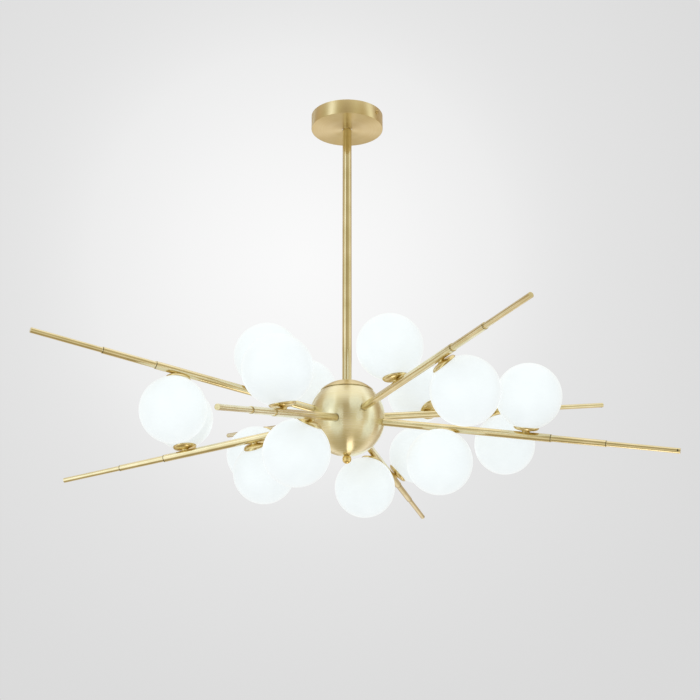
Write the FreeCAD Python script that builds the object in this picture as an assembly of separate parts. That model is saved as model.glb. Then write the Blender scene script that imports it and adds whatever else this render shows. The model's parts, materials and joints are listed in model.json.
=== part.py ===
"""Multi arm chandelier with eight stepped arms and sixteen opal globes.

Origin: centre of the ceiling plane, where the bracket meets the ceiling. +Z is up, so the whole
object hangs below Z = 0. The front is -Y. Millimetres and degrees.
"""
import FreeCAD
import Part
import math
import os

Vector = FreeCAD.Vector
Rotation = FreeCAD.Rotation
Placement = FreeCAD.Placement
UP = Vector(0, 0, 1)
ALONG = Vector(1, 0, 0)
NO_TURN = Rotation(UP, 0)

# --- driving dimensions -------------------------------------------------------------------------
CANOPY_DIAMETER = 120.0
CANOPY_HEIGHT = 25.0
STEM_DIAMETER = 15.0
STEM_DROP = 503.0            # canopy underside down to the hub centre
HUB_DIAMETER = 120.0
GLOBE_DIAMETER = 100.0
ARM_LENGTH = 510.0           # hub centre to arm tip
ARM_STEPS = (322.0, 404.0)   # where the tube steps down, from the hub centre
ARM_DIAMETERS = (12.0, 10.0, 8.0)
GLOBE_STATIONS = {"outer": 283.0, "inner": 162.0}   # along the arm, from the hub centre
GLOBE_OFFSET = 60.0          # arm axis to globe centre
OUTLET_ANGLE = 146.0         # the inner globe is this far round the arm from the outer one

# Each arm's aim: heading round the stem from the front towards +X, lift above level, and the roll
# of its outer globe from straight up, right-handed about the outward arm axis.
ARM_AIMS = {
    "arm_1": (-18.0, -12.5, 5.0),
    "arm_2": (27.0, 4.5, 222.0),
    "arm_3": (74.5, -9.5, 16.0),
    "arm_4": (117.0, 9.5, 172.0),
    "arm_5": (163.5, -7.5, 48.0),
    "arm_6": (207.0, 9.5, 214.0),
    "arm_7": (250.0, -7.0, 0.0),
    "arm_8": (298.0, 7.5, 181.0),
}

SHEET = 1.2                  # canopy and hub cap metal
GLASS = 2.0                  # globe wall
FREE_GAP = 0.35              # between pieces that move past each other
RUNNING_GAP = 0.05           # radial, in threads and spigots that turn
SCREW_HEADING = 56.0         # bracket and canopy screws, round from the front towards +X
HUB_Z = -(CANOPY_HEIGHT + STEM_DROP)
HUB = Vector(0, 0, HUB_Z)

os.makedirs("parts", exist_ok=True)


# --- small shape tools --------------------------------------------------------------------------
def rod(radius, low, high):
    """Round bar along Z between two heights."""
    return Part.makeCylinder(radius, high - low, Vector(0, 0, low), UP)


def tube(outer, inner, low, high):
    """Round tube along Z between two heights, given by its two radii."""
    return rod(outer, low, high).cut(rod(inner, low - 1, high + 1))


def turned(outline):
    """Solid of revolution about Z of a closed outline of (radius, height) points."""
    points = [Vector(radius, 0, height) for radius, height in outline]
    face = Part.Face(Part.makePolygon(points + points[:1]))
    return face.revolve(Vector(0, 0, 0), UP, 360)


def lying(shape):
    """A shape built along +Z laid down along +X, the arm's own axis."""
    laid = shape.copy()
    laid.rotate(Vector(0, 0, 0), Vector(0, 1, 0), 90)
    return laid


def placed(shape, placement):
    moved = shape.copy()
    moved.Placement = placement.multiply(moved.Placement)
    return moved


def write(name, *solids):
    """Saves one sub-part; several solids in it stay separate."""
    shape = solids[0] if len(solids) == 1 else Part.makeCompound(list(solids))
    assert shape.isValid(), name
    shape.exportStep("parts/" + name + ".step")


# --- ceiling bracket: steel strip with two turned-down notched ears ------------------------------
STRIP_THICKNESS = 2.5
STRIP_WIDTH = 16.0
STRIP_REACH = 57.0           # centre to the outside of each ear
EAR_DROP = 17.0
SIDE_SCREW_Z = -10.0
SIDE_SCREW_RADIUS = 2.0      # M4
CEILING_HOLE_RADIUS = 2.5
CEILING_HOLE_CIRCLE = 84.0
STUD_RADIUS = 4.5
STUD_BORE = 3.2

STRIP_FRAME = Placement(Vector(0, 0, 0), Rotation(UP, SCREW_HEADING - 90))


def ceiling_bracket():
    half = STRIP_WIDTH / 2
    strip = Part.makeBox(2 * STRIP_REACH, STRIP_WIDTH, STRIP_THICKNESS,
                         Vector(-STRIP_REACH, -half, -STRIP_THICKNESS))
    notch = SIDE_SCREW_RADIUS + 2 * RUNNING_GAP + FREE_GAP
    for side in (-1, 1):
        corner = STRIP_REACH if side < 0 else STRIP_REACH - STRIP_THICKNESS
        ear = Part.makeBox(STRIP_THICKNESS, STRIP_WIDTH, EAR_DROP, Vector(side * corner, -half, -EAR_DROP))
        slot = Part.makeBox(4 * STRIP_THICKNESS, 2 * notch, EAR_DROP,
                            Vector(side * STRIP_REACH - 2 * STRIP_THICKNESS, -notch, SIDE_SCREW_Z - EAR_DROP))
        eye = Part.makeCylinder(notch, 4 * STRIP_THICKNESS,
                                Vector(side * STRIP_REACH - 2 * STRIP_THICKNESS, 0, SIDE_SCREW_Z), ALONG)
        strip = strip.fuse(ear).cut(slot).cut(eye)
        hole = rod(CEILING_HOLE_RADIUS, -2 * STRIP_THICKNESS, 1)
        hole.translate(Vector(side * CEILING_HOLE_CIRCLE / 2, 0, 0))
        strip = strip.cut(hole)
    return placed(strip.removeSplitter(), STRIP_FRAME)


# --- swivel stud: hollow stud riveted under the strip; its flange carries the stem ---------------
FLANGE_TOP = -14.3
STUD_END = -18.0
STEM_COLLAR = (-14.0, -8.0)
STEM_TOP = -7.0
STEM_RADIUS = STEM_DIAMETER / 2
STEM_BORE = STEM_RADIUS - 1.5


def swivel_stud():
    stud = rod(STUD_RADIUS, STUD_END, -STRIP_THICKNESS)
    flange = rod(STEM_BORE - FREE_GAP, STUD_END, FLANGE_TOP)
    return stud.fuse(flange).cut(rod(STUD_BORE, STUD_END - 1, -STRIP_THICKNESS - 1)).removeSplitter()


# --- terminal block: moulded connector under the strip, with three screw wells -------------------
BLOCK_SIZE = (15.0, 14.0, 10.0)
BLOCK_START = 15.0
WELL_RADIUS = 1.6


def terminal_block():
    long_side, wide, tall = BLOCK_SIZE
    block = Part.makeBox(long_side, wide, tall,
                         Vector(BLOCK_START, -wide / 2, -STRIP_THICKNESS - tall))
    for step in (-1, 0, 1):
        well = rod(WELL_RADIUS, -STRIP_THICKNESS - tall - 1, -STRIP_THICKNESS - tall / 2)
        well.translate(Vector(BLOCK_START + long_side / 2 + step * long_side / 3, 0, 0))
        block = block.cut(well)
    return placed(block, STRIP_FRAME)


# --- canopy: spun drum that hides the bracket, with its two side screws --------------------------
CANOPY_RADIUS = CANOPY_DIAMETER / 2
CANOPY_EDGE = 0.8            # rounding of the bottom edge
CANOPY_RIM_Z = -0.3
STEM_HOLE = STEM_RADIUS + 0.8   # loose enough to show as a dark ring round the stem
SCREW_HEAD = (3.2, 1.8)      # radius and height of the button head
SCREW_NUT = (3.6, 3.0)


def canopy():
    drum = rod(CANOPY_RADIUS, -CANOPY_HEIGHT, CANOPY_RIM_Z)
    bottom = [edge for edge in drum.Edges
              if abs(edge.BoundBox.ZMax + CANOPY_HEIGHT) < 1e-6]
    drum = drum.makeFillet(CANOPY_EDGE, bottom)
    shell = drum.cut(rod(CANOPY_RADIUS - SHEET, -CANOPY_HEIGHT + SHEET, 1)).cut(rod(STEM_HOLE, -30, 1))
    for side in (-1, 1):
        hole = Part.makeCylinder(SIDE_SCREW_RADIUS, CANOPY_RADIUS + 2, Vector(0, 0, SIDE_SCREW_Z), ALONG * side)
        shell = shell.cut(placed(hole, STRIP_FRAME))
    return shell


def canopy_screws():
    pieces = []
    nut_start = STRIP_REACH - STRIP_THICKNESS - FREE_GAP - SCREW_NUT[1]
    for turn in (0, 180):
        shank = rod(SIDE_SCREW_RADIUS, nut_start, CANOPY_RADIUS)
        head = rod(SCREW_HEAD[0], CANOPY_RADIUS, CANOPY_RADIUS + SCREW_HEAD[1])
        rim = [edge for edge in head.Edges if edge.BoundBox.ZMin > CANOPY_RADIUS + 1]
        head = head.makeFillet(SCREW_HEAD[1] * 0.6, rim)
        slot = Part.makeBox(0.9, 10, 2, Vector(-0.45, -5, CANOPY_RADIUS + SCREW_HEAD[1] - 0.9))
        screw = shank.fuse(head).cut(slot)
        nut = tube(SCREW_NUT[0], SIDE_SCREW_RADIUS, nut_start, nut_start + SCREW_NUT[1])
        spot = Placement(Vector(0, 0, SIDE_SCREW_Z), Rotation(UP, SCREW_HEADING - 90 + turn))
        pieces += [placed(lying(screw), spot), placed(lying(nut), spot)]
    return pieces


# --- stem: brass tube with a collar inside its top that turns on the swivel stud -----------------
STEM_FOOT = HUB_Z + 16.0


def stem():
    body = tube(STEM_RADIUS, STEM_BORE, STEM_FOOT, STEM_TOP)
    collar = tube(STEM_BORE + 0.5, STUD_RADIUS + RUNNING_GAP, *STEM_COLLAR)
    return body.fuse(collar).removeSplitter()


def stem_leads():
    """Live, neutral and earth wires, from above the stud down into the core's chamber."""
    wires = []
    for turn in (0, 120, 240):
        wire = rod(0.9, HUB_Z + 4, -4)
        wire.translate(Vector(1.3 * math.cos(math.radians(turn)), 1.3 * math.sin(math.radians(turn)), 0))
        wires.append(wire)
    return wires


# --- hub: cast core, lock nuts, spun bowl, lid and finial ----------------------------------------
HUB_RADIUS = HUB_DIAMETER / 2
BOWL_WALL = 1.5
CORE_RADIUS = 20.0
SEAT = 19.0                  # flat under each lock nut, from the hub centre
SPIGOT_RADIUS = 4.0
SPIGOT_END = 12.0
CHAMBER_RADIUS = 9.0
NUT_ACROSS = 13.0
NUT_HEIGHT = 4.0
POST_RADIUS = 7.0
FINIAL_STUD = 3.0            # M6
LID_SEAM = 45.0              # height of the lid's edge above the hub centre
BOWL_MOUTH = 48.0            # height where the bowl is cut open
FINIAL_RADIUS = 7.2
FINIAL_DROP = 65.5


def arm_frame(name):
    """Placement whose X runs out along the arm from the hub centre, with Z as near up as it can be."""
    heading, lift, roll = ARM_AIMS[name]
    turn = Rotation(UP, heading - 90).multiply(Rotation(Vector(0, 1, 0), -lift))
    return Placement(HUB, turn)


def hub_core():
    ball = Part.makeSphere(CORE_RADIUS)
    neck = rod(STEM_RADIUS + 3.5, 10, 34)
    post = rod(POST_RADIUS, -HUB_RADIUS + BOWL_WALL + 0.6, 0)
    core = ball.fuse([neck, post]).cut(rod(STEM_RADIUS, STEM_FOOT - HUB_Z, 40))
    core = core.cut(rod(STEM_BORE, -10, 40)).cut(rod(CHAMBER_RADIUS, -9, 9))
    core = core.cut(rod(FINIAL_STUD + RUNNING_GAP, -HUB_RADIUS, -38))
    core.translate(HUB)
    for name in ARM_AIMS:
        spotface = rod(NUT_ACROSS * 0.6, SEAT, CORE_RADIUS + 1)
        bore = rod(SPIGOT_RADIUS + RUNNING_GAP, SPIGOT_END - FREE_GAP, CORE_RADIUS)
        wire_way = rod(2.0, 0, CORE_RADIUS)
        for cutter in (spotface, bore, wire_way):
            core = core.cut(placed(lying(cutter), arm_frame(name)))
    return core


def arm_lock_nuts():
    nuts = []
    corners = [Vector(NUT_ACROSS / math.sqrt(3) * math.cos(math.radians(60 * i)),
                      NUT_ACROSS / math.sqrt(3) * math.sin(math.radians(60 * i)), SEAT) for i in range(7)]
    blank = Part.Face(Part.makePolygon(corners)).extrude(UP * NUT_HEIGHT)
    nut = blank.cut(rod(SPIGOT_RADIUS + RUNNING_GAP, 0, 2 * SEAT))
    for name in ARM_AIMS:
        nuts.append(placed(lying(nut), arm_frame(name)))
    return nuts


def hub_bowl():
    shell = Part.makeSphere(HUB_RADIUS).cut(Part.makeSphere(HUB_RADIUS - BOWL_WALL))
    shell = shell.cut(rod(HUB_RADIUS, BOWL_MOUTH, HUB_RADIUS + 1)).cut(rod(FINIAL_STUD + FREE_GAP, -70, -40))
    shell.translate(HUB)
    for name in ARM_AIMS:
        hole = rod(ARM_DIAMETERS[0] / 2 + FREE_GAP, 40, 80)
        shell = shell.cut(placed(lying(hole), arm_frame(name)))
    return shell


def hub_lid():
    inner = HUB_RADIUS + FREE_GAP
    shell = Part.makeSphere(inner + SHEET).cut(Part.makeSphere(inner))
    shell = shell.common(rod(HUB_RADIUS, LID_SEAM, HUB_DIAMETER)).cut(rod(STEM_RADIUS + FREE_GAP, 0, HUB_DIAMETER))
    shell.translate(HUB)
    return shell


def finial():
    ball = Part.makeSphere(FINIAL_RADIUS, Vector(0, 0, -FINIAL_DROP))
    ball = ball.cut(rod(HUB_RADIUS, -HUB_RADIUS - 0.4, 0))
    nut = ball.fuse(rod(FINIAL_STUD, -HUB_RADIUS - 1, -HUB_RADIUS + 20))
    nut.translate(HUB)
    return nut


# --- arms: three stepped brass tubes, two saucer cups, two lampholders with their lamps ----------
SHOULDER = SEAT + NUT_HEIGHT + FREE_GAP
TUBE_WALL = 1.0
OVERLAP = 25.0               # how far each thinner tube reaches into the thicker one
NIPPLE_RADIUS = 3.5
WIRE_RADIUS = 2.5
GROOVE = (0.9, 0.5)          # width and depth of the shadow groove behind each step
GROOVE_LIP = 0.6             # metal left between the groove and the tube's end
TIP_PLUG = 7.0
TIP_HOLE = (1.4, 4.0)        # radius, and distance from the tip, of the set-screw hole
TIP_HOLE_ON_TOP = ("arm_4",)     # the others have it on the side


def globe_frame(name, place):
    """Placement with its origin on the arm axis and +Z towards the globe's centre."""
    roll = ARM_AIMS[name][2] + (OUTLET_ANGLE if place == "inner" else 0)
    at = Placement(Vector(GLOBE_STATIONS[place], 0, 0), Rotation(ALONG, roll))
    return arm_frame(name).multiply(at)


def groove_at(step, radius):
    width, depth = GROOVE
    return tube(radius + 1, radius - depth, step - GROOVE_LIP - width, step - GROOVE_LIP)


def arm_tube(name):
    radius = ARM_DIAMETERS[0] / 2
    body = rod(radius, SHOULDER, ARM_STEPS[0]).fuse(rod(SPIGOT_RADIUS, SPIGOT_END, SHOULDER + 1))
    body = body.cut(rod(radius - TUBE_WALL, SHOULDER + 6, ARM_STEPS[0] + 1)).cut(rod(WIRE_RADIUS - 0.7, 0, 60))
    body = body.cut(groove_at(ARM_STEPS[0], radius))
    body = placed(lying(body), arm_frame(name))
    for place in GLOBE_STATIONS:
        body = body.cut(placed(rod(NIPPLE_RADIUS, 0, 10), globe_frame(name, place)))
    return body


def arm_extension(name):
    middle, thin = ARM_DIAMETERS[1] / 2, ARM_DIAMETERS[2] / 2
    sleeve = tube(middle, middle - TUBE_WALL, ARM_STEPS[0] - OVERLAP, ARM_STEPS[1])
    sleeve = sleeve.cut(groove_at(ARM_STEPS[1], middle))
    tip = tube(thin, thin - TUBE_WALL, ARM_STEPS[1] - OVERLAP, ARM_LENGTH - 1)
    tip = tip.fuse(rod(thin, ARM_LENGTH - TIP_PLUG, ARM_LENGTH)).removeSplitter()
    way = Vector(-1, 0, 0) if name in TIP_HOLE_ON_TOP else Vector(0, -1, 0)
    start = way * (thin / 4) + UP * (ARM_LENGTH - TIP_HOLE[1])
    hole = Part.makeCylinder(TIP_HOLE[0], thin, start, way)
    tip = tip.cut(hole)
    return [placed(lying(piece), arm_frame(name)) for piece in (sleeve, tip)]


# Saucer section, as (radius, distance from the arm axis).
CUP_OUTSIDE = ((5.5, 6.9), (9.0, 7.6), (17.4, 9.3), (19.2, 11.8), (19.5, 13.2))
CUP_INSIDE = ((18.7, 13.2), (18.4, 12.2), (16.9, 10.2), (9.0, 8.5))
CUP_FLOOR = 8.5
CARRIER = (14.0, 10.6, 16.0)     # threaded skirt of the lampholder: radius, low, high
HOLDER_TOP = 27.0
LAMP_RADIUS = 7.0
LAMP_TOP = 66.0


def cup():
    outline = [(WIRE_RADIUS, 0.5), (5.5, 0.5)] + list(CUP_OUTSIDE) + list(CUP_INSIDE)
    saucer = turned(outline + [(WIRE_RADIUS, CUP_FLOOR)])
    arm = lying(rod(ARM_DIAMETERS[0] / 2, -30, 30))
    nipple = tube(NIPPLE_RADIUS, WIRE_RADIUS, ARM_DIAMETERS[0] / 2 - 2.5, CUP_FLOOR - 1)
    return saucer.cut(arm).fuse(nipple).removeSplitter()


def lampholder():
    skirt, low, high = CARRIER
    body = rod(8.0, CUP_FLOOR, low + 1).fuse([rod(skirt, low, high), rod(9.0, high - 1, HOLDER_TOP)])
    return body.removeSplitter()


def lamp():
    straight = LAMP_TOP - LAMP_RADIUS
    return rod(LAMP_RADIUS, HOLDER_TOP, straight).fuse(Part.makeSphere(LAMP_RADIUS, Vector(0, 0, straight))
                                                       ).removeSplitter()


# --- globes: opal glass with a short threaded neck that screws onto the lampholder ----------------
NECK_OUTSIDE = 16.5
NECK_LOW = 11.0
NECK_HIGH = 17.0


def globe():
    centre = Vector(0, 0, GLOBE_OFFSET)
    ball = Part.makeSphere(GLOBE_DIAMETER / 2, centre).cut(Part.makeSphere(GLOBE_DIAMETER / 2 - GLASS, centre))
    neck = rod(NECK_OUTSIDE, NECK_LOW, NECK_HIGH)
    mouth = rod(CARRIER[0] + RUNNING_GAP, 0, GLOBE_OFFSET / 2)
    return ball.fuse(neck).cut(mouth).removeSplitter()


# --- write every sub-part ------------------------------------------------------------------------
write("ceiling_bracket", ceiling_bracket())
write("swivel_stud", swivel_stud())
write("terminal_block", terminal_block())
write("canopy", canopy())
write("canopy_screws", *canopy_screws())
write("stem", stem())
write("stem_leads", *stem_leads())
write("hub_core", hub_core())
write("arm_lock_nuts", *arm_lock_nuts())
write("hub_bowl", hub_bowl())
write("hub_lid", hub_lid())
write("finial", finial())
for arm in ARM_AIMS:
    write(arm + "_tube", arm_tube(arm))
    write(arm + "_extension", *arm_extension(arm))
    frames = [globe_frame(arm, place) for place in GLOBE_STATIONS]
    write(arm + "_cups", *[placed(cup(), frame) for frame in frames])
    write(arm + "_lamps", *[placed(piece, frame) for frame in frames for piece in (lampholder(), lamp())])
    for place in GLOBE_STATIONS:
        write("globe_" + arm[-1] + "_" + place, placed(globe(), globe_frame(arm, place)))
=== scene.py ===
"""Multi arm chandelier: satin brass, eight stepped arms and sixteen lit opal globes. Metres."""
import bmesh
import bpy
import json
import math
from mathutils import Matrix, Vector


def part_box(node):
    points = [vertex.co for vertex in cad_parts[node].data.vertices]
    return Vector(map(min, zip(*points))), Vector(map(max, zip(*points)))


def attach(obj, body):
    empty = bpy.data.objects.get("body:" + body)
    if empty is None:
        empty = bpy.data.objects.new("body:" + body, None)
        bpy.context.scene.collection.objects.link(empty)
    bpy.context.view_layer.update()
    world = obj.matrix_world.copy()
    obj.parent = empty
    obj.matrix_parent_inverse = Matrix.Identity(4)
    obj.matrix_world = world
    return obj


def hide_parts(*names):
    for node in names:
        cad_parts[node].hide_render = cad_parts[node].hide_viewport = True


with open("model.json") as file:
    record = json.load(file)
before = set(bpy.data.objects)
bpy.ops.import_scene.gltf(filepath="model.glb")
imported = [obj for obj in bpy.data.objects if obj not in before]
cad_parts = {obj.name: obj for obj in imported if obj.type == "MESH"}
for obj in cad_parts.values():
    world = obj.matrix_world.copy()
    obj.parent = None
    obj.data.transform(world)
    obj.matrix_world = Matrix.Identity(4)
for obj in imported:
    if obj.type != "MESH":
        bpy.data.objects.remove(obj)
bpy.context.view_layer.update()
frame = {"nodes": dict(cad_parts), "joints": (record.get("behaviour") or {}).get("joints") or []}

# --- studio -------------------------------------------------------------------------------------------
# The fixture hangs from its ceiling plane in a pale seamless studio. The backdrop is a soft pool of
# light that falls off to grey. The brass mirrors a ring of windows and warm walls, and whatever is
# matt is lit by a plain pale sky.
MM = 0.001
HUB = Vector(next(joint["pos_m"] for joint in frame["joints"] if joint["name"] == "arm_1_aim"))


def linear(code):
    """A hex colour as it is seen, turned into the linear colour that the nodes take."""
    shares = [int(code[i:i + 2], 16) / 255 for i in (1, 3, 5)]
    return [s / 12.92 if s < 0.04045 else ((s + 0.055) / 1.055) ** 2.4 for s in shares] + [1]


def node(tree, kind, values=None, links=None, **settings):
    """Adds a node with its settings, the values of its sockets and the outputs that feed them."""
    made = tree.nodes.new("ShaderNode" + kind)
    for name, setting in settings.items():
        setattr(made, name, setting)
    for socket, value in (values or {}).items():
        made.inputs[socket].default_value = value
    for socket, source in (links or {}).items():
        tree.links.new(source, made.inputs[socket])
    return made


def fill_ramp(ramp, stops, ease="LINEAR"):
    """Sets a ramp's stops, given as (place from 0 to 1, colour)."""
    ramp.color_ramp.interpolation = ease
    elements = ramp.color_ramp.elements
    while len(elements) < len(stops):
        elements.new(0.5)
    for element, (place, colour) in zip(elements, stops):
        element.position = place
        element.color = colour
    return ramp


LIFT = math.radians(17.76)        # the camera looks up by this much
POOL = Vector((-0.038, 0.069, -1))      # middle of the backdrop's light, as the camera's axes run
# How bright the backdrop is at each angle from the middle of its pool of light, in degrees.
FALL_OFF = ((0, "#fbfbfb"), (5, "#f5f5f5"), (9, "#ededed"), (11, "#e7e7e7"), (13, "#e3e3e3"),
            (15, "#e1e1e1"), (17, "#dfdfdf"), (20, "#dcdcdc"), (24, "#dadada"), (40, "#d9d9d9"))
WIDEST = FALL_OFF[-1][0]
# What stands round the fixture: heading in degrees from the front towards +X, colour, brightness.
ROUND = ((-180, "#cabba8", 1.0), (-160, "#cdbfac", 1.0), (-148, "#bfae9a", 0.9), (-138, "#f4faff", 1.2),
         (-128, "#c6b7a2", 0.9), (-112, "#c4b094", 1.0), (-96, "#cfbfa3", 1.0), (-80, "#c6bc9f", 1.0),
         (-66, "#d9d5be", 1.0), (-52, "#f0f8ff", 1.6), (-42, "#eef2ee", 1.2), (-32, "#d0cab0", 1.0),
         (-18, "#b9ad90", 1.0), (-5, "#ab9d7f", 1.0), (5, "#b1a487", 1.0), (18, "#c4bb9e", 1.0),
         (32, "#d2ccb0", 1.0), (50, "#c5b693", 1.0), (64, "#d6ceb4", 1.0), (82, "#f0f8fa", 1.5),
         (94, "#e4dcc8", 1.0), (108, "#bba88c", 1.0), (132, "#cbbba4", 1.0), (150, "#cbbda9", 0.95),
         (166, "#cdbfac", 1.0), (180, "#cabba8", 1.0))
BRIGHTEST = max(brightness for _, _, brightness in ROUND)
# The same from straight down (0) to straight up (1), and how far it takes over from the windows.
UPRIGHT = ((0.0, "#a89874", 1.0), (0.12, "#c3b592", 1.0), (0.27, "#fbf7f2", 1.4), (0.8, "#e8e4d8", 1.0),
           (0.93, "#fffdf6", 1.15), (1.0, "#fbf5e6", 1.1))
TAKE_OVER = ((0.0, 1.0), (0.12, 0.8), (0.27, 0.5), (0.38, 0.0), (0.8, 0.0), (0.93, 1.0))
SKY = "#e9edee"
SKY_STRENGTH = 0.7


def dimmed(code, brightness):
    """A colour at its brightness, as a share of the brightest, so that a ramp can hold it."""
    return [brightness / BRIGHTEST * part for part in linear(code)[:3]] + [1]



world = bpy.data.worlds.new("studio")
bpy.context.scene.world = world
bpy.context.scene.view_settings.view_transform = "Standard"
world.use_nodes = True
tree = world.node_tree
tree.nodes.clear()
look = node(tree, "TexCoord").outputs["Generated"]
aim = Matrix.Rotation(math.pi / 2 + LIFT, 3, "X") @ POOL.normalized()
nearness = node(tree, "VectorMath", {1: aim}, {0: look}, operation="DOT_PRODUCT").outputs["Value"]
angle = node(tree, "Math", links={0: nearness}, operation="ARCCOSINE").outputs[0]
share = node(tree, "MapRange", {"From Max": math.radians(WIDEST)}, {"Value": angle}).outputs[0]
fall_off = fill_ramp(node(tree, "ValToRGB", links={"Fac": share}),
                     [(degrees / WIDEST, linear(code)) for degrees, code in FALL_OFF], "B_SPLINE")
mirrored = node(tree, "VectorMath", {1: (1, -1, 1)}, {0: look}, operation="MULTIPLY").outputs[0]
sides = node(tree, "SeparateXYZ", links={0: mirrored}).outputs
heading = node(tree, "Math", links={0: sides["X"], 1: sides["Y"]}, operation="ARCTAN2").outputs[0]
lap = node(tree, "MapRange", {"From Min": -math.pi, "From Max": math.pi}, {"Value": heading}).outputs[0]
windows = fill_ramp(node(tree, "ValToRGB", links={"Fac": lap}), [
    ((degrees + 180) / 360, dimmed(code, brightness)) for degrees, code, brightness in ROUND])
# Upwards the windows melt into a bright ceiling, downwards into a bright apron and a warm floor.
height = node(tree, "MapRange", {"From Min": -1.0}, {"Value": sides["Z"]}).outputs[0]
melt = fill_ramp(node(tree, "ValToRGB", links={"Fac": height}),
                 [(place, (share, share, share, 1)) for place, share in TAKE_OVER])
even = fill_ramp(node(tree, "ValToRGB", links={"Fac": height}),
                 [(place, dimmed(code, brightness)) for place, code, brightness in UPRIGHT])
room = node(tree, "MixRGB", links={
    "Fac": melt.outputs[0], "Color1": windows.outputs[0], "Color2": even.outputs[0]})
seen = node(tree, "Background", links={"Color": fall_off.outputs[0]}).outputs[0]
cast = node(tree, "Background", {"Strength": BRIGHTEST}, {"Color": room.outputs[0]}).outputs[0]
plain = node(tree, "Background", {"Color": linear(SKY), "Strength": SKY_STRENGTH}).outputs[0]
path = node(tree, "LightPath").outputs
around = node(tree, "MixShader", links={0: path["Is Diffuse Ray"], 1: cast, 2: plain}).outputs[0]
whole = node(tree, "MixShader", links={0: path["Is Camera Ray"], 1: around, 2: seen}).outputs[0]
node(tree, "OutputWorld", links={"Surface": whole})

# A strip light on the floor, a little right of the fixture, draws the bright streak low on the hub and
# is seen only in what shines. A broad soft light in front models the globes and shines in nothing.
# For each: place, what it points at, width and length, watts, colour, and the rays that see it.
LIGHTS = {
    "floor_strip": ((0.22, 0.6, -2.35), (0.22, 0.6, 0), (0.42, 1.5), 3.2, "#fff6ea", "glossy"),
    "front_softbox": ((-0.5, -3.2, -0.5), HUB, (1.8, 1.8), 20, "#ffffff", "diffuse"),
}
for name, (place, target, (width, length), watts, code, lights_up) in LIGHTS.items():
    lamp = bpy.data.lights.new(name, "AREA")
    lamp.shape = "RECTANGLE"
    lamp.size = width
    lamp.size_y = length
    lamp.energy = watts
    lamp.color = linear(code)[:3]
    stand = bpy.data.objects.new(name, lamp)
    stand.location = place
    stand.rotation_euler = (Vector(target) - Vector(place)).to_track_quat("-Z", "Y").to_euler()
    stand.visible_camera = False
    stand.visible_glossy = lights_up == "glossy"
    stand.visible_diffuse = lights_up == "diffuse"
    bpy.context.scene.collection.objects.link(stand)

# A matt paper floor, 2.4 m below the ceiling and wide enough to run out of sight.
FLOOR_DROP = 2.4
FLOOR_RADIUS = 9
bpy.ops.object.select_all(action="DESELECT")
bpy.ops.mesh.primitive_circle_add(vertices=96, radius=FLOOR_RADIUS, fill_type="NGON",
                                  location=(0, 0, -FLOOR_DROP))
floor = bpy.context.object
floor.name = "floor"
floor.visible_glossy = False
paper = bpy.data.materials.new("matt_paper")
paper.use_nodes = True
sheet = paper.node_tree.nodes["Principled BSDF"].inputs
sheet["Base Color"].default_value = linear("#f2f3f5")
sheet["Roughness"].default_value = 0.9
floor.data.materials.append(paper)

# The eye stands 2.04 m from the hub, below it and straight in front.
camera = bpy.data.objects.new("camera", bpy.data.cameras.new("camera"))
camera.data.sensor_width = 36
camera.data.lens = 66.857
camera.location = HUB + Vector((0.0049, -1.9762, -0.5202))
camera.rotation_euler = (math.pi / 2 + LIFT, 0, 0)
bpy.context.scene.collection.objects.link(camera)
bpy.context.scene.camera = camera

# --- ceiling bracket ----------------------------------------------------------------------------------
# A pressed steel strip with two turned-down ears, bright zinc plated and passivated, which gives it a
# cold grey with faint straw and blue clouds. Two screws hold it to the ceiling box.


def finish_of(name, values):
    """A new material with these values set on its shader, and its tree and shader with it."""
    made = bpy.data.materials.new(name)
    made.use_nodes = True
    tree = made.node_tree
    shader = tree.nodes["Principled BSDF"]
    for socket, value in values.items():
        shader.inputs[socket].default_value = value
    return made, tree, shader


def feed(tree, shader, sources):
    """Links outputs to the shader's sockets."""
    for socket, source in sources.items():
        tree.links.new(source, shader.inputs[socket])


def dress(name, material):
    """Gives a carried-over node its finish."""
    piece = frame["nodes"][name]
    piece.data.materials.clear()
    piece.data.materials.append(material)


ZINC_CLOUD = 9 * MM
PLATING_GRAIN = 0.6 * MM      # real crystals are finer; drawn coarse enough to show
zinc_plate, tree, shader = finish_of("zinc_plated_steel", {"Metallic": 1.0, "Roughness": 0.38})
here = node(tree, "TexCoord").outputs["Object"]
clouds = node(tree, "TexNoise", {"Scale": 1 / ZINC_CLOUD, "Detail": 3.0}, {"Vector": here}).outputs["Fac"]
tint = fill_ramp(node(tree, "ValToRGB", links={"Fac": clouds}),
                 [(0.3, linear("#b9bdc4")), (0.5, linear("#c9cacb")), (0.7, linear("#d0c9b4"))])
grain = node(tree, "TexNoise", {"Scale": 1 / PLATING_GRAIN}, {"Vector": here}).outputs["Fac"]
rough = node(tree, "MapRange", {"To Min": 0.28, "To Max": 0.48}, {"Value": grain}).outputs[0]
relief = node(tree, "Bump", {"Strength": 0.3, "Distance": 0.02 * MM}, {"Height": grain}).outputs[0]
feed(tree, shader, {"Base Color": tint.outputs[0], "Roughness": rough, "Normal": relief})
dress("ceiling_bracket", zinc_plate)

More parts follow.
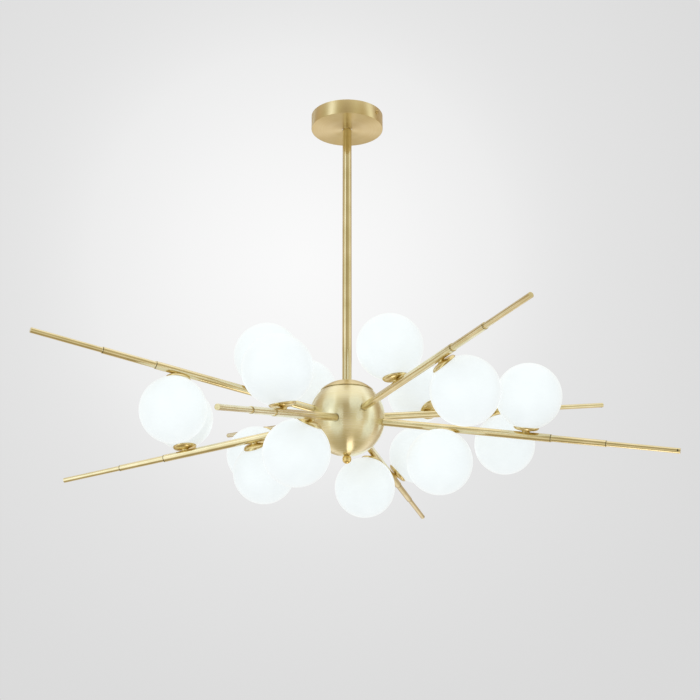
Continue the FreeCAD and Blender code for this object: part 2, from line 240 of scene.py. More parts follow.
# --- terminal block -----------------------------------------------------------------------------------
# A connector moulded in natural white nylon, clipped under the strip. The mould's spark-eroded skin
# leaves it slightly grained, and nylon takes up a little yellow.
SPARK_GRAIN = 0.35 * MM
nylon, tree, shader = finish_of("moulded_nylon", {"Roughness": 0.5, "IOR": 1.53, "Subsurface Weight": 0.1,
                                                  "Subsurface Scale": 1.5 * MM})
here = node(tree, "TexCoord").outputs["Object"]
grain = node(tree, "TexNoise", {"Scale": 1 / SPARK_GRAIN, "Detail": 2.0}, {"Vector": here}).outputs["Fac"]
tint = fill_ramp(node(tree, "ValToRGB", links={"Fac": grain}),
                 [(0.3, linear("#e9e5d8")), (0.7, linear("#f4f1e6"))])
relief = node(tree, "Bump", {"Strength": 0.4, "Distance": 0.03 * MM}, {"Height": grain}).outputs[0]
feed(tree, shader, {"Base Color": tint.outputs[0], "Normal": relief})
dress("terminal_block", nylon)

# --- canopy -------------------------------------------------------------------------------------------
# A shallow drum spun from 1.2 mm brass sheet, its edge rounded over the former. It is satin polished
# on the lathe and lacquered: fine rings round the axis, which draw highlights out across them.


def start(name, kind, **settings):
    """Adds a primitive with nothing else selected and opens it for editing."""
    bpy.ops.object.select_all(action="DESELECT")
    getattr(bpy.ops.mesh, "primitive_" + kind + "_add")(**settings)
    piece = bpy.context.object
    piece.name = name
    piece.data.name = name
    bpy.ops.object.mode_set(mode="EDIT")
    return piece


def pick(piece, part, test):
    """Selects the piece's vertices, edges or faces that pass a test, and nothing else."""
    bpy.ops.mesh.select_mode(type=part)
    bpy.ops.mesh.select_all(action="DESELECT")
    mesh = bmesh.from_edit_mesh(piece.data)
    mesh.normal_update()
    for item in {"VERT": mesh.verts, "EDGE": mesh.edges, "FACE": mesh.faces}[part]:
        if test(item):
            item.select_set(True)
    mesh.select_flush_mode()
    bmesh.update_edit_mesh(piece.data)


def level(item):
    """Height of an edge's or a face's middle in its piece, if it lies level; otherwise nothing."""
    heights = [corner.co.z for corner in item.verts]
    return sum(heights) / len(heights) if max(heights) - min(heights) < 1e-6 else math.inf


def close(piece):
    """Leaves editing, with the piece's place in its mesh."""
    bpy.ops.object.mode_set(mode="OBJECT")
    bpy.ops.object.transform_apply(location=True, rotation=True, scale=True)
    return piece


def work(piece, kind, **settings):
    """Adds one modifier and applies it."""
    bpy.context.view_layer.objects.active = piece
    tool = piece.modifiers.new(kind.lower(), kind)
    for name, setting in settings.items():
        setattr(tool, name, setting)
    bpy.ops.object.modifier_apply(modifier=tool.name)


def polish(piece, material, sharp=35):
    """Smooths the shading up to an angle and gives the finish, which reads the places on the bench."""
    bpy.ops.object.select_all(action="DESELECT")
    piece.select_set(True)
    bpy.context.view_layer.objects.active = piece
    bpy.ops.object.shade_smooth_by_angle(angle=math.radians(sharp))
    bench = piece.data.attributes.new("bench", "FLOAT_VECTOR", "POINT")
    bench.data.foreach_set("vector", [value for vertex in piece.data.vertices for value in vertex.co])
    piece.data.materials.clear()
    piece.data.materials.append(material)


def fitted(piece, body, slot, *nodes):
    """The piece goes with a body and stands for these nodes, which it hides; the slot is not used."""
    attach(piece, body)
    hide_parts(*nodes)


def satin_brass(name, lines, pale, deep, roughness, anisotropy=0.0, depth=0.06):
    """Lacquered brass whose fine lines run round the axis ("spun") or along it ("drawn")."""
    made, tree, shader = finish_of(name, {
        "Metallic": 1.0, "Anisotropic": anisotropy, "Anisotropic Rotation": 0.25})
    bench = node(tree, "Attribute", attribute_name="bench").outputs["Vector"]
    if lines == "spun":
        flat = node(tree, "VectorMath", {1: (1, 1, 0)}, {0: bench}, operation="MULTIPLY").outputs[0]
        radius = node(tree, "VectorMath", links={0: flat}, operation="LENGTH").outputs["Value"]
        rise = node(tree, "SeparateXYZ", links={0: bench}).outputs["Z"]
        across = node(tree, "CombineXYZ", links={"X": radius, "Z": rise}).outputs[0]
    else:
        across = node(tree, "VectorMath", {1: (1, 1, 0.01)}, {0: bench}, operation="MULTIPLY").outputs[0]
    spacing = LINE_SPACING[lines]
    scratches = node(tree, "TexNoise", {"Scale": 1 / spacing, "Detail": 2.0}, {"Vector": across})
    cloud = node(tree, "TexNoise", {"Scale": 1 / LACQUER_CLOUD, "Detail": 2.0}, {"Vector": bench})
    marks = node(tree, "Math", links={0: cloud.outputs["Fac"], 1: scratches.outputs["Fac"]}, operation="ADD")
    share = node(tree, "MapRange", {"From Min": 0.7, "From Max": 1.3}, {"Value": marks.outputs[0]}).outputs[0]
    tint = fill_ramp(node(tree, "ValToRGB", links={"Fac": share}), [(0.1, linear(deep)), (0.9, linear(pale))])
    spread = node(tree, "MapRange", {"To Min": roughness - 0.05, "To Max": roughness + 0.05},
                  {"Value": scratches.outputs["Fac"]}).outputs[0]
    feed(tree, shader, {"Base Color": tint.outputs[0], "Roughness": spread})
    if depth:
        relief = node(tree, "Bump", {"Strength": depth, "Distance": 0.01 * MM},
                      {"Height": scratches.outputs["Fac"]})
        feed(tree, shader, {"Normal": relief.outputs[0]})
    if anisotropy:
        round_axis = node(tree, "Tangent", direction_type="RADIAL", axis="Z")
        feed(tree, shader, {"Tangent": round_axis.outputs[0]})
    return made


# Real satin lines lie about 0.1 mm apart; these are drawn coarse enough to show.
LINE_SPACING = {"spun": 0.8 * MM, "drawn": 2.5 * MM}
LACQUER_CLOUD = 45 * MM
SHEET = 1.2 * MM
FREE_GAP = 0.35 * MM          # between pieces that move past each other
canopy_low, canopy_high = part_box("canopy")
stem_low, stem_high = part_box("stem")
STEM_RADIUS = stem_high.x
DRUM_RADIUS = canopy_high.x
ROUNDED = 0.8 * MM
RIM_BREAK = 0.2 * MM
STEM_HOLE_GAP = 0.8 * MM      # shows as a dark ring round the stem
spun_brass = satin_brass("satin_spun_brass", "spun", "#eadbb2", "#ddca98", 0.32, 0.9)

drum = start("canopy_drum", "cylinder", vertices=160, radius=DRUM_RADIUS, end_fill_type="NGON",
             depth=canopy_high.z - canopy_low.z, location=(0, 0, (canopy_high.z + canopy_low.z) / 2))
pick(drum, "FACE", lambda face: face.normal.z > 0.9)
bpy.ops.mesh.delete(type="ONLY_FACE")
pick(drum, "EDGE", lambda edge: level(edge) < 0)
bpy.ops.mesh.bevel(offset=ROUNDED, segments=5)
pick(drum, "FACE", lambda face: face.normal.z < -0.999)
bpy.ops.mesh.inset(thickness=DRUM_RADIUS - ROUNDED - STEM_RADIUS - STEM_HOLE_GAP)
bpy.ops.mesh.delete(type="FACE")
close(drum)
work(drum, "SOLIDIFY", thickness=SHEET, offset=-1, use_even_offset=True)
work(drum, "BEVEL", width=RIM_BREAK, segments=2, limit_method="ANGLE", angle_limit=math.radians(50))
polish(drum, spun_brass)
fitted(drum, "canopy", "satin_brass", "canopy")

# --- canopy screws ------------------------------------------------------------------------------------
# Two small slotted button heads with knurled nuts behind, turned from brass rod. They clamp the drum
# to the bracket's ears. Turning leaves them brighter and smoother than the drum.
screws_low, screws_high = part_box("canopy_screws")
SCREW_DROP = (screws_low.z + screws_high.z) / 2
SCREW_HEADING = math.radians(56)
HEAD_RADIUS = 3.2 * MM
HEAD_HEIGHT = 1.8 * MM
SHANK_RADIUS = 2 * MM
NUT_START = 51.15 * MM        # from the canopy's axis
SHANK_LENGTH = DRUM_RADIUS - NUT_START
NUT_RADIUS = 3.6 * MM
NUT_HEIGHT = 3 * MM
SLOT_WIDTH = 0.9 * MM
KNURL = 0.04 * MM
CROWN = 5                     # steps in the head's rounding


def seat(origin, along, facing):
    """Matrix that stands a piece made along +Z on the bench along a direction, its +X facing another."""
    up = Vector(along).normalized()
    side = up.cross(Vector(facing)).normalized()
    turn = Matrix((side.cross(up), side, up)).transposed()
    return Matrix.Translation(origin) @ turn.to_4x4()


def fit_copy(model, name, place, body, slot, *nodes):
    """Copies a piece made on the bench, with a mesh of its own, and fits it in its place."""
    copy = model.copy()
    copy.data = model.data.copy()
    copy.name = name
    copy.data.name = name
    bpy.context.scene.collection.objects.link(copy)
    copy.data.transform(place)
    fitted(copy, body, slot, *nodes)
    return copy


def cut(piece, tool):
    """Cuts a closed tool shape out of the piece and throws the tool away."""
    work(piece, "BOOLEAN", object=tool, operation="DIFFERENCE", solver="EXACT")
    bpy.data.objects.remove(tool)


def carry(radius, height, stations):
    """Draws the selected ring or end face on through (radius, height) stations, as a turning tool does."""
    for next_radius, next_height in stations:
        bpy.ops.mesh.extrude_region_move(TRANSFORM_OT_translate={"value": (0, 0, next_height - height)})
        bpy.ops.transform.resize(value=(next_radius / radius, next_radius / radius, 1),
                                 center_override=(0, 0, next_height))
        radius, height = next_radius, next_height


screw_brass = satin_brass("turned_brass", "spun", "#dcc690", "#cfb67e", 0.2)
screw = start("side_screw", "cylinder", vertices=32, radius=SHANK_RADIUS, depth=SHANK_LENGTH,
              end_fill_type="NGON", location=(0, 0, DRUM_RADIUS - SHANK_LENGTH / 2))
pick(screw, "FACE", lambda face: face.normal.z > 0.9)
turns = [math.pi / 2 * step / CROWN for step in range(CROWN + 1)]
carry(SHANK_RADIUS, DRUM_RADIUS, [(HEAD_RADIUS, DRUM_RADIUS)] + [
    (HEAD_RADIUS * (0.45 + 0.55 * math.cos(turn)), DRUM_RADIUS + HEAD_HEIGHT * (0.3 + 0.7 * math.sin(turn)))
    for turn in turns])
close(screw)
slot_tool = start("slot_tool", "cube", size=1, location=(0, 0, DRUM_RADIUS + HEAD_HEIGHT),
                  scale=(SLOT_WIDTH, 4 * HEAD_RADIUS, 2 * SLOT_WIDTH))
close(slot_tool)
cut(screw, slot_tool)
polish(screw, screw_brass)
nut = start("side_nut", "cylinder", vertices=48, radius=NUT_RADIUS, depth=NUT_HEIGHT, end_fill_type="NGON",
            location=(0, 0, DRUM_RADIUS - SHANK_LENGTH + NUT_HEIGHT / 2))
pick(nut, "FACE", lambda face: abs(face.normal.z) < 0.5 and face.index % 2 == 0)
bpy.ops.mesh.inset(thickness=KNURL, use_individual=True)
bpy.ops.transform.resize(value=(0.95, 0.95, 1), center_override=(0, 0, 0))
close(nut)
polish(nut, screw_brass)
for name, turn in (("front", 0), ("rear", math.pi)):
    out = Vector((math.sin(SCREW_HEADING + turn), -math.cos(SCREW_HEADING + turn), 0))
    place = seat((0, 0, SCREW_DROP), out, (0, 0, 1))
    fit_copy(screw, "canopy_screw_" + name, place, "canopy", "screw_brass", "canopy_screws")
    fit_copy(nut, "canopy_nut_" + name, place, "canopy", "screw_brass", "canopy_screws")
bpy.data.objects.remove(screw)
bpy.data.objects.remove(nut)

# --- swivel stud, hub core and lock nuts --------------------------------------------------------------
# Hidden working parts: the stud and the nuts are machined bar, the core is sand-cast brass with
# machined seats. Casting leaves a fine orange-peel skin, duller and browner than the satin outside.
CAST_GRAIN = 1.2 * MM
cast_brass, tree, shader = finish_of("cast_brass", {"Metallic": 1.0, "Roughness": 0.42})
here = node(tree, "TexCoord").outputs["Object"]
skin = node(tree, "TexNoise", {"Scale": 1 / CAST_GRAIN, "Detail": 4.0}, {"Vector": here}).outputs["Fac"]
tint = fill_ramp(node(tree, "ValToRGB", links={"Fac": skin}),
                 [(0.3, linear("#b79a5e")), (0.7, linear("#cbb07a"))])
rough = node(tree, "MapRange", {"To Min": 0.34, "To Max": 0.52}, {"Value": skin}).outputs[0]
relief = node(tree, "Bump", {"Strength": 0.5, "Distance": 0.08 * MM}, {"Height": skin}).outputs[0]
feed(tree, shader, {"Base Color": tint.outputs[0], "Roughness": rough, "Normal": relief})
for name in ("swivel_stud", "hub_core", "arm_lock_nuts"):
    dress(name, cast_brass)

# --- stem ---------------------------------------------------------------------------------------------
# A length of 15 mm drawn brass tube from the swivel down into the hub core, satin polished lengthwise
# between felt wheels, so its streaks run along it.
STEM_WALL = 1.5 * MM
END_BREAK = 0.3 * MM
drawn_brass = satin_brass("satin_drawn_brass", "drawn", "#f2e6c2", "#dacda0", 0.16, depth=0)
tube = start("stem_tube", "cylinder", vertices=96, radius=STEM_RADIUS, depth=stem_high.z - stem_low.z,
             end_fill_type="NGON", location=(0, 0, (stem_high.z + stem_low.z) / 2))
pick(tube, "FACE", lambda face: abs(face.normal.z) > 0.9)
bpy.ops.mesh.delete(type="ONLY_FACE")
close(tube)
work(tube, "SOLIDIFY", thickness=STEM_WALL, offset=-1, use_even_offset=True)
work(tube, "BEVEL", width=END_BREAK, segments=2, limit_method="ANGLE", angle_limit=math.radians(50))
polish(tube, drawn_brass)
fitted(tube, "stem", "satin_brass", "stem")

# --- stem leads ---------------------------------------------------------------------------------------
# Live, neutral and earth: three single cores in brown, blue and striped green and yellow soft sheath,
# pulled through the stem.
STRIPE = 3 * MM
sheath, tree, shader = finish_of("soft_wire_sheath", {"Roughness": 0.42, "IOR": 1.53})
here = node(tree, "TexCoord").outputs["Object"]
sides = node(tree, "SeparateXYZ", links={0: here}).outputs
heading = node(tree, "Math", links={0: sides["Y"], 1: sides["X"]}, operation="ARCTAN2").outputs[0]
lap = node(tree, "MapRange", {"From Min": -math.pi, "From Max": math.pi}, {"Value": heading}).outputs[0]
bands = node(tree, "TexWave", {"Scale": 1 / STRIPE, "Distortion": 0.5}, {"Vector": here}, bands_direction="Z")
earth = fill_ramp(node(tree, "ValToRGB", links={"Fac": bands.outputs["Fac"]}),
                  [(0.45, linear("#4f9b3d")), (0.55, linear("#e6d23c"))])
others = fill_ramp(node(tree, "ValToRGB", links={"Fac": lap}),
                   [(0.0, linear("#6b4427")), (0.7, linear("#2c5fa8"))], "CONSTANT")
which = fill_ramp(node(tree, "ValToRGB", links={"Fac": lap}),
                  [(0.0, (1, 1, 1, 1)), (1 / 3, (0, 0, 0, 1))], "CONSTANT")
tint = node(tree, "MixRGB", links={
    "Fac": which.outputs[0], "Color1": others.outputs[0], "Color2": earth.outputs[0]})
feed(tree, shader, {"Base Color": tint.outputs[0]})
dress("stem_leads", sheath)

# --- hub bowl -----------------------------------------------------------------------------------------
# Most of a 120 mm sphere, spun in 1.5 mm brass over a chuck and cut open on top. Eight holes are bored
# square to the arms, one below takes the finial's stud. Same satin as the canopy.
bowl_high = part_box("hub_bowl")[1]
HUB_RADIUS = bowl_high.x
BOWL_WALL = 1.5 * MM
ARM_RADIUS = 6 * MM
FINIAL_STUD = 3 * MM
BIT = (50 * MM, 70 * MM)      # a drill's two ends, from the hub's centre
ARMS = ["arm_" + str(number) for number in range(1, 9)]
joints = {joint["name"]: joint for joint in frame["joints"]}
axis_of = {arm: Vector(joints[arm + "_aim"]["axis"]) for arm in ARMS}


def drill(piece, origin, along, near, far, radius):
    """Bores a round hole along a direction, between two distances from an origin."""
    bit = start("drill", "cylinder", vertices=64, radius=radius, depth=far - near,
                location=(0, 0, (near + far) / 2))
    close(bit)
    bit.data.transform(seat(origin, along, along.orthogonal()))
    cut(piece, bit)


hub_brass = satin_brass("satin_hub_brass", "spun", "#f4edcd", "#ece2ba", 0.26, 0.95, depth=0.03)
bowl = start("hub_bowl_shell", "uv_sphere", segments=144, ring_count=72, radius=HUB_RADIUS, location=HUB)
bpy.ops.mesh.bisect(plane_co=(0, 0, bowl_high.z), plane_no=(0, 0, 1), clear_outer=True)
close(bowl)
work(bowl, "SOLIDIFY", thickness=BOWL_WALL, offset=-1, use_even_offset=True)
for arm in ARMS:
    drill(bowl, HUB, axis_of[arm], *BIT, ARM_RADIUS + FREE_GAP)
drill(bowl, HUB, Vector((0, 0, -1)), *BIT, FINIAL_STUD + FREE_GAP)
polish(bowl, hub_brass)
fitted(bowl, "stem", "satin_brass", "hub_bowl")

# --- hub lid ------------------------------------------------------------------------------------------
# A spun cap that laps the bowl's mouth, its edge turned true so that it shows as a fine dark seam with
# a bright line. It slides up the stem for wiring.
lid_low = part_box("hub_lid")[0]
LID_RADIUS = HUB_RADIUS + FREE_GAP + SHEET
LIP_BREAK = 0.25 * MM
lid = start("hub_lid_cap", "uv_sphere", segments=144, ring_count=72, radius=LID_RADIUS, location=HUB)
bpy.ops.mesh.bisect(plane_co=(0, 0, lid_low.z), plane_no=(0, 0, -1), clear_outer=True)
bpy.ops.mesh.select_all(action="SELECT")
reach = math.sqrt(LID_RADIUS ** 2 - (STEM_RADIUS + FREE_GAP) ** 2)
bpy.ops.mesh.bisect(plane_co=(0, 0, HUB.z + reach), plane_no=(0, 0, 1), clear_outer=True)
close(lid)
work(lid, "SOLIDIFY", thickness=SHEET, offset=-1, use_even_offset=True)
work(lid, "BEVEL", width=LIP_BREAK, segments=3, limit_method="ANGLE", angle_limit=math.radians(50))
polish(lid, spun_brass)
fitted(lid, "hub_lid", "satin_brass", "hub_lid")

# --- finial -------------------------------------------------------------------------------------------
# A ball nut turned from solid brass and mirror polished, deeper in colour than the satin parts. Its
# M6 stud screws up into the hub core and holds the bowl.
FINIAL_RADIUS = 7.2 * MM
FINIAL_DROP = 65.5 * MM
STUD_CHAMFER = 0.6 * MM
FLAT = HUB.z - HUB_RADIUS - 0.4 * MM      # where the ball is faced off, just clear of the bowl
finial_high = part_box("finial")[1]
mirror_brass, tree, shader = finish_of("polished_brass", {"Metallic": 1.0, "Roughness": 0.06})
bench = node(tree, "Attribute", attribute_name="bench").outputs["Vector"]
haze = node(tree, "TexNoise", {"Scale": 1 / (2 * MM), "Detail": 3.0}, {"Vector": bench}).outputs["Fac"]
tint = fill_ramp(node(tree, "ValToRGB", links={"Fac": haze}),
                 [(0.3, linear("#e6c87f")), (0.7, linear("#f2dc9f"))])
rough = node(tree, "MapRange", {"To Min": 0.02, "To Max": 0.07}, {"Value": haze}).outputs[0]
feed(tree, shader, {"Base Color": tint.outputs[0], "Roughness": rough})
ball = start("finial_ball", "uv_sphere", segments=64, ring_count=40, radius=FINIAL_RADIUS,
             location=HUB - Vector((0, 0, FINIAL_DROP)))
bpy.ops.mesh.bisect(plane_co=(0, 0, FLAT), plane_no=(0, 0, 1), clear_outer=True, use_fill=True)
close(ball)
bpy.ops.object.mode_set(mode="EDIT")
pick(ball, "FACE", lambda face: face.normal.z > 0.99 and level(face) > FLAT - 0.1 * MM)
flat_radius = math.sqrt(FINIAL_RADIUS ** 2 - (FLAT - HUB.z + FINIAL_DROP) ** 2)
carry(flat_radius, FLAT, [(FINIAL_STUD, FLAT), (FINIAL_STUD, finial_high.z - STUD_CHAMFER),
                          (FINIAL_STUD - STUD_CHAMFER, finial_high.z)])
close(ball)
polish(ball, mirror_brass)
fitted(ball, "finial", "polished_brass", "finial")

# --- arms ---------------------------------------------------------------------------------------------
# Each arm is three drawn brass tubes sleeved into each other, 12, 10 and 8 mm, with a shadow groove
# turned just behind each step and a plug with a set-screw hole in the tip. All eight are alike.
STEPS = (322 * MM, 404 * MM)
TIP = 510 * MM
SHOULDER = 23.35 * MM
SPIGOT_RADIUS = 4 * MM
SPIGOT_END = 12 * MM
LEAD_RADIUS = 1.8 * MM
TUBE_WALL = 1 * MM
OVERLAP = 25 * MM
BORE_FLOOR = 6 * MM           # solid metal above the shoulder
EDGE_BREAK = 0.25 * MM
GROOVE_WIDTH = 0.9 * MM
GROOVE_DEPTH = 0.5 * MM
GROOVE_LIP = 0.6 * MM
TIP_HOLE_RADIUS = 1.4 * MM
TIP_HOLE_FROM_END = 4 * MM
TIP_SCREW_AT = {"arm_2": "left", "arm_4": "top"}      # the others have it on the right
ROUND_FACES = 64
# Blotch size in the near-black painted shade of the grooves and holes.
SHADE_BLOTCH = 1.5 * MM


def tarnish(piece, test):
    """Gives the faces that pass the test the near-black finish, painted shade for the shadow down in a groove
    or hole.
    """
    piece.data.materials.append(painted_groove_shade)
    for face in piece.data.polygons:
        if test(face.center):
            face.material_index = 1


def stepped_tube(name, radius, low, high, bore_depth):
    """A tube along +Z whose open end has a broken edge with a groove behind it."""
    groove_high = high - GROOVE_LIP
    groove_low = groove_high - GROOVE_WIDTH
    piece = start(name, "cylinder", vertices=ROUND_FACES, radius=radius, depth=groove_low - low,
                  end_fill_type="NGON", location=(0, 0, (low + groove_low) / 2))
    close(piece)
    bpy.ops.object.mode_set(mode="EDIT")
    pick(piece, "FACE", lambda face: face.normal.z > 0.9)
    carry(radius, groove_low, [
        (radius - GROOVE_DEPTH, groove_low), (radius - GROOVE_DEPTH, groove_high), (radius, groove_high),
        (radius, high - EDGE_BREAK), (radius - EDGE_BREAK, high), (radius - TUBE_WALL, high),
        (radius - TUBE_WALL, high - bore_depth)])
    return piece


# Painted shade: a near-black brass put in the grooves behind the steps and in the set-screw holes, for the
# shadow that falls there.
painted_groove_shade, tree, shader = finish_of("painted_shade_brass", {"Metallic": 1.0, "Roughness": 0.6})
here = node(tree, "Attribute", attribute_name="bench").outputs["Vector"]
blotch = node(tree, "TexNoise", {"Scale": 1 / SHADE_BLOTCH, "Detail": 2.0}, {"Vector": here}).outputs["Fac"]
tint = fill_ramp(node(tree, "ValToRGB", links={"Fac": blotch}),
                 [(0.3, linear("#120d08")), (0.7, linear("#2b2013"))])
feed(tree, shader, {"Base Color": tint.outputs[0]})


def in_groove(radius, high):
    """A test for places at the bottom of the groove behind a tube's end."""
    middle_of_groove = high - GROOVE_LIP - GROOVE_WIDTH / 2
    return lambda spot: (abs(spot.z - middle_of_groove) < GROOVE_WIDTH / 2 + EDGE_BREAK
                         and math.hypot(spot.x, spot.y) < radius - EDGE_BREAK / 2)


thick = stepped_tube("thick_tube", ARM_RADIUS, SHOULDER, STEPS[0], STEPS[0] - SHOULDER - BORE_FLOOR)
pick(thick, "FACE", lambda face: face.normal.z < -0.9 and level(face) < SHOULDER + MM)
carry(ARM_RADIUS, SHOULDER, [(ARM_RADIUS - EDGE_BREAK, SHOULDER), (SPIGOT_RADIUS, SHOULDER),
                             (SPIGOT_RADIUS, SPIGOT_END), (LEAD_RADIUS, SPIGOT_END),
                             (LEAD_RADIUS, SHOULDER)])
close(thick)
polish(thick, drawn_brass)
# Painted shade in the groove behind the thick tube's end.
tarnish(thick, in_groove(ARM_RADIUS, STEPS[0]))
middle_radius = ARM_RADIUS - TUBE_WALL
middle = stepped_tube("middle_tube", middle_radius, STEPS[0] - OVERLAP, STEPS[1], STEPS[1] - STEPS[0])
close(middle)
polish(middle, drawn_brass)
# Painted shade in the groove behind the middle tube's end.
tarnish(middle, in_groove(middle_radius, STEPS[1]))
thin_radius = ARM_RADIUS - 2 * TUBE_WALL
tips = {}
for facing, way in (("right", (1, 0, 0)), ("top", (0, 1, 0)), ("left", (-1, 0, 0))):
    thin = start("thin_tube_" + facing, "cylinder", vertices=ROUND_FACES, radius=thin_radius,
                 depth=TIP - EDGE_BREAK - STEPS[1] + OVERLAP, end_fill_type="NGON",
                 location=(0, 0, (TIP - EDGE_BREAK + STEPS[1] - OVERLAP) / 2))
    close(thin)
    bpy.ops.object.mode_set(mode="EDIT")
    pick(thin, "FACE", lambda face: face.normal.z > 0.9)
    carry(thin_radius, TIP - EDGE_BREAK, [(thin_radius - EDGE_BREAK, TIP)])
    close(thin)
    drill(thin, (0, 0, TIP - TIP_HOLE_FROM_END), Vector(way), thin_radius / 2, 2 * thin_radius,
          TIP_HOLE_RADIUS)
    polish(thin, drawn_brass)
    # Painted shade in the set-screw hole's walls.
    tarnish(thin, lambda spot: abs(spot.z - TIP + TIP_HOLE_FROM_END) < 1.2 * TIP_HOLE_RADIUS
            and math.hypot(spot.x, spot.y) < 0.97 * thin_radius)
    tips[facing] = thin
for arm in ARMS:
    along = axis_of[arm]
    beside = along.cross(Vector((0, 0, 1)))
    place = seat(HUB, along, beside)
    fit_copy(thick, arm + "_thick_tube", place, arm, "satin_brass", arm + "_tube")
    fit_copy(middle, arm + "_middle_tube", place, arm, "satin_brass", arm + "_extension")
    thin = tips[TIP_SCREW_AT.get(arm, "right")]
    fit_copy(thin, arm + "_thin_tube", place, arm, "satin_brass", arm + "_extension")
for model in (thick, middle, *tips.values()):
    bpy.data.objects.remove(model)

# --- saucer cups --------------------------------------------------------------------------------------
# Under each globe a shallow saucer of spun brass on a short foot, its lip turned up to meet the glass.
# A hollow nipple clamps it to the arm and carries the leads through.
CUP_FOOT = (5.5 * MM, 4.5 * MM)      # radius and height of the foot's end, inside the arm
CUP_BORE = 3 * MM
# Radius and height in millimetres, from the foot out round the lip and back to the bore.
CUP_SECTION = ((5.5, 6.4), (6.2, 7.0), (9.5, 7.5), (14.0, 8.3), (17.3, 9.4), (18.9, 11.2), (19.4, 13.0),
               (19.1, 13.3), (18.8, 13.0), (18.2, 11.6), (16.8, 10.2), (13.8, 9.3), (9.5, 8.6), (3.0, 8.5))
cup = start("saucer_cup", "circle", vertices=64, radius=CUP_FOOT[0], fill_type="NOTHING",
            location=(0, 0, CUP_FOOT[1]))
close(cup)
bpy.ops.object.mode_set(mode="EDIT")
pick(cup, "EDGE", lambda edge: True)
carry(*CUP_FOOT, [(radius * MM, height * MM) for radius, height in CUP_SECTION] + [
    (CUP_BORE, CUP_FOOT[1]), CUP_FOOT])
bpy.ops.mesh.select_all(action="SELECT")
bpy.ops.mesh.remove_doubles(threshold=0.01 * MM)
bpy.ops.mesh.normals_make_consistent(inside=False)
close(cup)
work(cup, "SUBSURF", levels=1, render_levels=1)
cup_brass = satin_brass("satin_cup_brass", "spun", "#e6d8ac", "#dcc78c", 0.2)
polish(cup, cup_brass)

# --- lampholders and lamps ----------------------------------------------------------------------------
# A glazed steatite lampholder with a coarse round thread for the globe's neck, and a capsule lamp with
# a frosted plastic cover that glows warm white. Both are hidden in the lit globe.
HOLDER_FOOT = (8.0 * MM, 8.6 * MM)
FOOT_DISC = 0.4 * MM
HOLDER_TOP = 27.0 * MM
LAMP_RADIUS = 7 * MM
LAMP_TOP = 66 * MM
GLAZE_POOL = 6 * MM
FROST_GRAIN = 0.8 * MM
# The holder's section is in millimetres too: a skirt with three turns of round thread, then the barrel.
SKIRT = 13.4
THREAD = 0.5
THREAD_LOW, THREAD_HIGH, THREAD_TURNS = 11.2, 15.6, 3
pitch = (THREAD_HIGH - THREAD_LOW) / THREAD_TURNS
thread = [(SKIRT + THREAD * (step % 2), THREAD_LOW + step * pitch / 2)
          for step in range(2 * THREAD_TURNS + 1)]
holder_section = [(8.0, 10.6), (SKIRT, 10.6)] + thread + [
    (SKIRT, 16.0), (9.4, 16.0), (9.0, 16.6), (9.0, 26.5), (8.5, HOLDER_TOP / MM)]
steatite, tree, shader = finish_of("glazed_steatite", {"Roughness": 0.16, "IOR": 1.5, "Coat Weight": 0.4})
bench = node(tree, "Attribute", attribute_name="bench").outputs["Vector"]
pool = node(tree, "TexNoise", {"Scale": 1 / GLAZE_POOL, "Detail": 2.0}, {"Vector": bench}).outputs["Fac"]
tint = fill_ramp(node(tree, "ValToRGB", links={"Fac": pool}),
                 [(0.3, linear("#ece8dd")), (0.7, linear("#f7f5ee"))])
feed(tree, shader, {"Base Color": tint.outputs[0]})
holder = start("lampholder", "cylinder", vertices=48, radius=HOLDER_FOOT[0], depth=FOOT_DISC,
               end_fill_type="NGON", location=(0, 0, HOLDER_FOOT[1]))
close(holder)
bpy.ops.object.mode_set(mode="EDIT")
pick(holder, "FACE", lambda face: face.normal.z > 0.9)
carry(HOLDER_FOOT[0], HOLDER_FOOT[1] + FOOT_DISC / 2,
      [(radius * MM, height * MM) for radius, height in holder_section])
close(holder)
polish(holder, steatite)

frosted, tree, shader = finish_of("frosted_lamp_cover", {
    "Roughness": 0.55, "IOR": 1.58, "Emission Color": linear("#fff3dc"), "Emission Strength": 1.0})
bench = node(tree, "Attribute", attribute_name="bench").outputs["Vector"]
frost = node(tree, "TexNoise", {"Scale": 1 / FROST_GRAIN, "Detail": 2.0}, {"Vector": bench}).outputs["Fac"]
tint = fill_ramp(node(tree, "ValToRGB", links={"Fac": frost}),
                 [(0.3, linear("#f1eee6")), (0.7, linear("#fbfaf5"))])
relief = node(tree, "Bump", {"Strength": 0.4, "Distance": 0.05 * MM}, {"Height": frost}).outputs[0]
feed(tree, shader, {"Base Color": tint.outputs[0], "Normal": relief})
capsule = start("capsule_lamp", "uv_sphere", segments=48, ring_count=24, radius=LAMP_RADIUS,
                location=(0, 0, LAMP_TOP - LAMP_RADIUS))
bpy.ops.mesh.bisect(plane_co=(0, 0, LAMP_TOP - LAMP_RADIUS), plane_no=(0, 0, -1), clear_outer=True,
                    use_fill=True)
close(capsule)
bpy.ops.object.mode_set(mode="EDIT")
pick(capsule, "FACE", lambda face: face.normal.z < -0.9)
carry(LAMP_RADIUS, LAMP_TOP - LAMP_RADIUS, [(LAMP_RADIUS, HOLDER_TOP + 1.5 * MM),
                                            (LAMP_RADIUS - MM, HOLDER_TOP + 0.1 * MM)])
close(capsule)
polish(capsule, frosted)

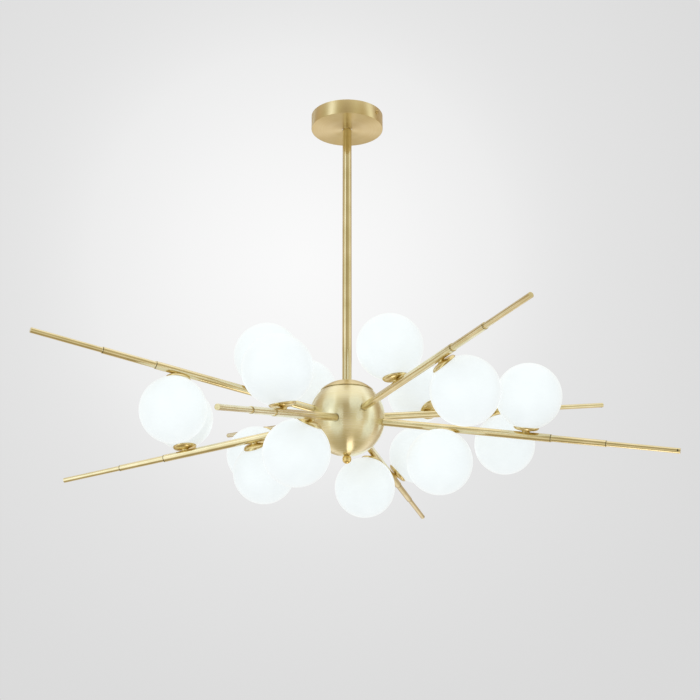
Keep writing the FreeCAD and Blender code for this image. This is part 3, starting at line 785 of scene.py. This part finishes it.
# --- globes -------------------------------------------------------------------------------------------
# Blown opal glass, 100 mm across and 2 mm thick, with a short ground neck that screws on to the
# lampholder. Lit from inside it glows an even, faintly cool white, a little greyer round the neck.
GLOBE_RADIUS = 50 * MM
GLOBE_OFFSET = 60 * MM
GLASS = 2 * MM
NECK_RADIUS = 16.5 * MM
NECK_LOW = 11 * MM
NECK_FILLET = 0.6 * MM
OPAL_CLOUD = 30 * MM
opal, tree, shader = finish_of("lit_opal_glass", {
    "Roughness": 0.4, "IOR": 1.5, "Specular IOR Level": 0.3, "Emission Color": linear("#f4f8f9")})
bench = node(tree, "Attribute", attribute_name="bench").outputs["Vector"]
clouds = node(tree, "TexNoise", {"Scale": 1 / OPAL_CLOUD, "Detail": 1.0}, {"Vector": bench}).outputs["Fac"]
tint = fill_ramp(node(tree, "ValToRGB", links={"Fac": clouds}),
                 [(0.3, linear("#b5bbbc")), (0.7, linear("#bbc1c2"))])
rise = node(tree, "SeparateXYZ", links={0: bench}).outputs["Z"]
glow = node(tree, "MapRange",
            {"From Min": NECK_LOW, "From Max": GLOBE_OFFSET, "To Min": 0.58, "To Max": 0.62},
            {"Value": rise}, interpolation_type="SMOOTHSTEP").outputs[0]
relief = node(tree, "Bump", {"Strength": 0.2, "Distance": 0.1 * MM}, {"Height": clouds}).outputs[0]
feed(tree, shader, {"Base Color": tint.outputs[0], "Emission Strength": glow, "Normal": relief})
neck_meets = GLOBE_OFFSET - math.sqrt(GLOBE_RADIUS ** 2 - NECK_RADIUS ** 2)
globe = start("globe", "uv_sphere", segments=96, ring_count=60, radius=GLOBE_RADIUS,
              location=(0, 0, GLOBE_OFFSET))
bpy.ops.mesh.bisect(plane_co=(0, 0, neck_meets), plane_no=(0, 0, -1), clear_outer=True)
close(globe)
bpy.ops.object.mode_set(mode="EDIT")
pick(globe, "EDGE", lambda edge: edge.is_boundary)
carry(NECK_RADIUS, neck_meets, [(NECK_RADIUS, neck_meets - NECK_FILLET), (NECK_RADIUS, NECK_LOW)])
close(globe)
work(globe, "SOLIDIFY", thickness=GLASS, offset=-1, use_even_offset=True)
work(globe, "BEVEL", width=0.4 * MM, segments=3, limit_method="ANGLE", angle_limit=math.radians(60))
polish(globe, opal)

for arm in ARMS:
    for spot in ("outer", "inner"):
        tail = arm[-1] + "_" + spot
        body = "globe_" + tail
        outlet = joints[body + "_unscrew"]
        place = seat(outlet["pos_m"], outlet["axis"], axis_of[arm])
        fit_copy(cup, "cup_" + tail, place, arm, "satin_brass", arm + "_cups")
        fit_copy(holder, "lampholder_" + tail, place, arm, "lampholder_ceramic", arm + "_lamps")
        fit_copy(capsule, "lamp_" + tail, place, arm, "lampholder_ceramic", arm + "_lamps")
        fit_copy(globe, "opal_" + tail, place, body, "opal_glass", body)
for model in (cup, holder, capsule, globe):
    bpy.data.objects.remove(model)
